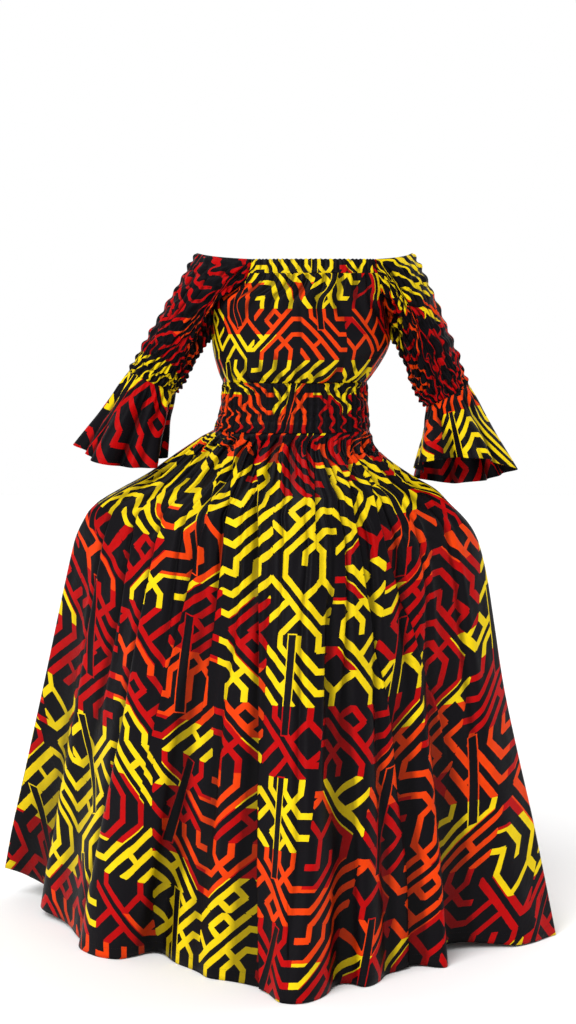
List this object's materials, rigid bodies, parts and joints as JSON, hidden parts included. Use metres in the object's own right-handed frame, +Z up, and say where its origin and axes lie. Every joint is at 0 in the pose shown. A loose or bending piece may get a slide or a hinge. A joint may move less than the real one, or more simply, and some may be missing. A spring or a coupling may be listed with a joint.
{
  "type": "off-the-shoulder maxi dress with smocked sleeves, held at the waist by an elastic band",
  "caption": "Off-the-shoulder wax print maxi dress with smocked bell sleeves, a wide shirred waistband and a full gathered skirt with side pockets.",
  "frame": {"origin": "centre of the waist, in the middle of the shirred waistband, where a wearer's waist holds the dress", "axes": "+Z up towards the neck, +X towards the wearer's left side, -Y is the front of the dress"},
  "size_m": [1.129, 0.8554, 1.341],
  "materials": {
    "print_upper": "waxed cotton print with a slight sheen",
    "print_sleeves": "waxed cotton print, smocked",
    "print_waistband": "waxed cotton print, shirred on elastic",
    "print_skirt": "waxed cotton print with a slight sheen",
    "pocket_cotton": "plain matt cotton"
  },
  "bodies": {
    "root": {"neckband_front": "print_upper", "neckband_back": "print_upper", "bodice_front": "print_upper", "bodice_back": "print_upper", "sleeve_right": "print_sleeves", "sleeve_left": "print_sleeves", "flounce_right": "print_sleeves", "flounce_left": "print_sleeves", "waistband_front": "print_waistband", "waistband_back": "print_waistband", "skirt_front": "print_skirt", "skirt_back": "print_skirt", "pocket_right": "pocket_cotton", "pocket_left": "pocket_cotton"}
  },
  "joints": []
}
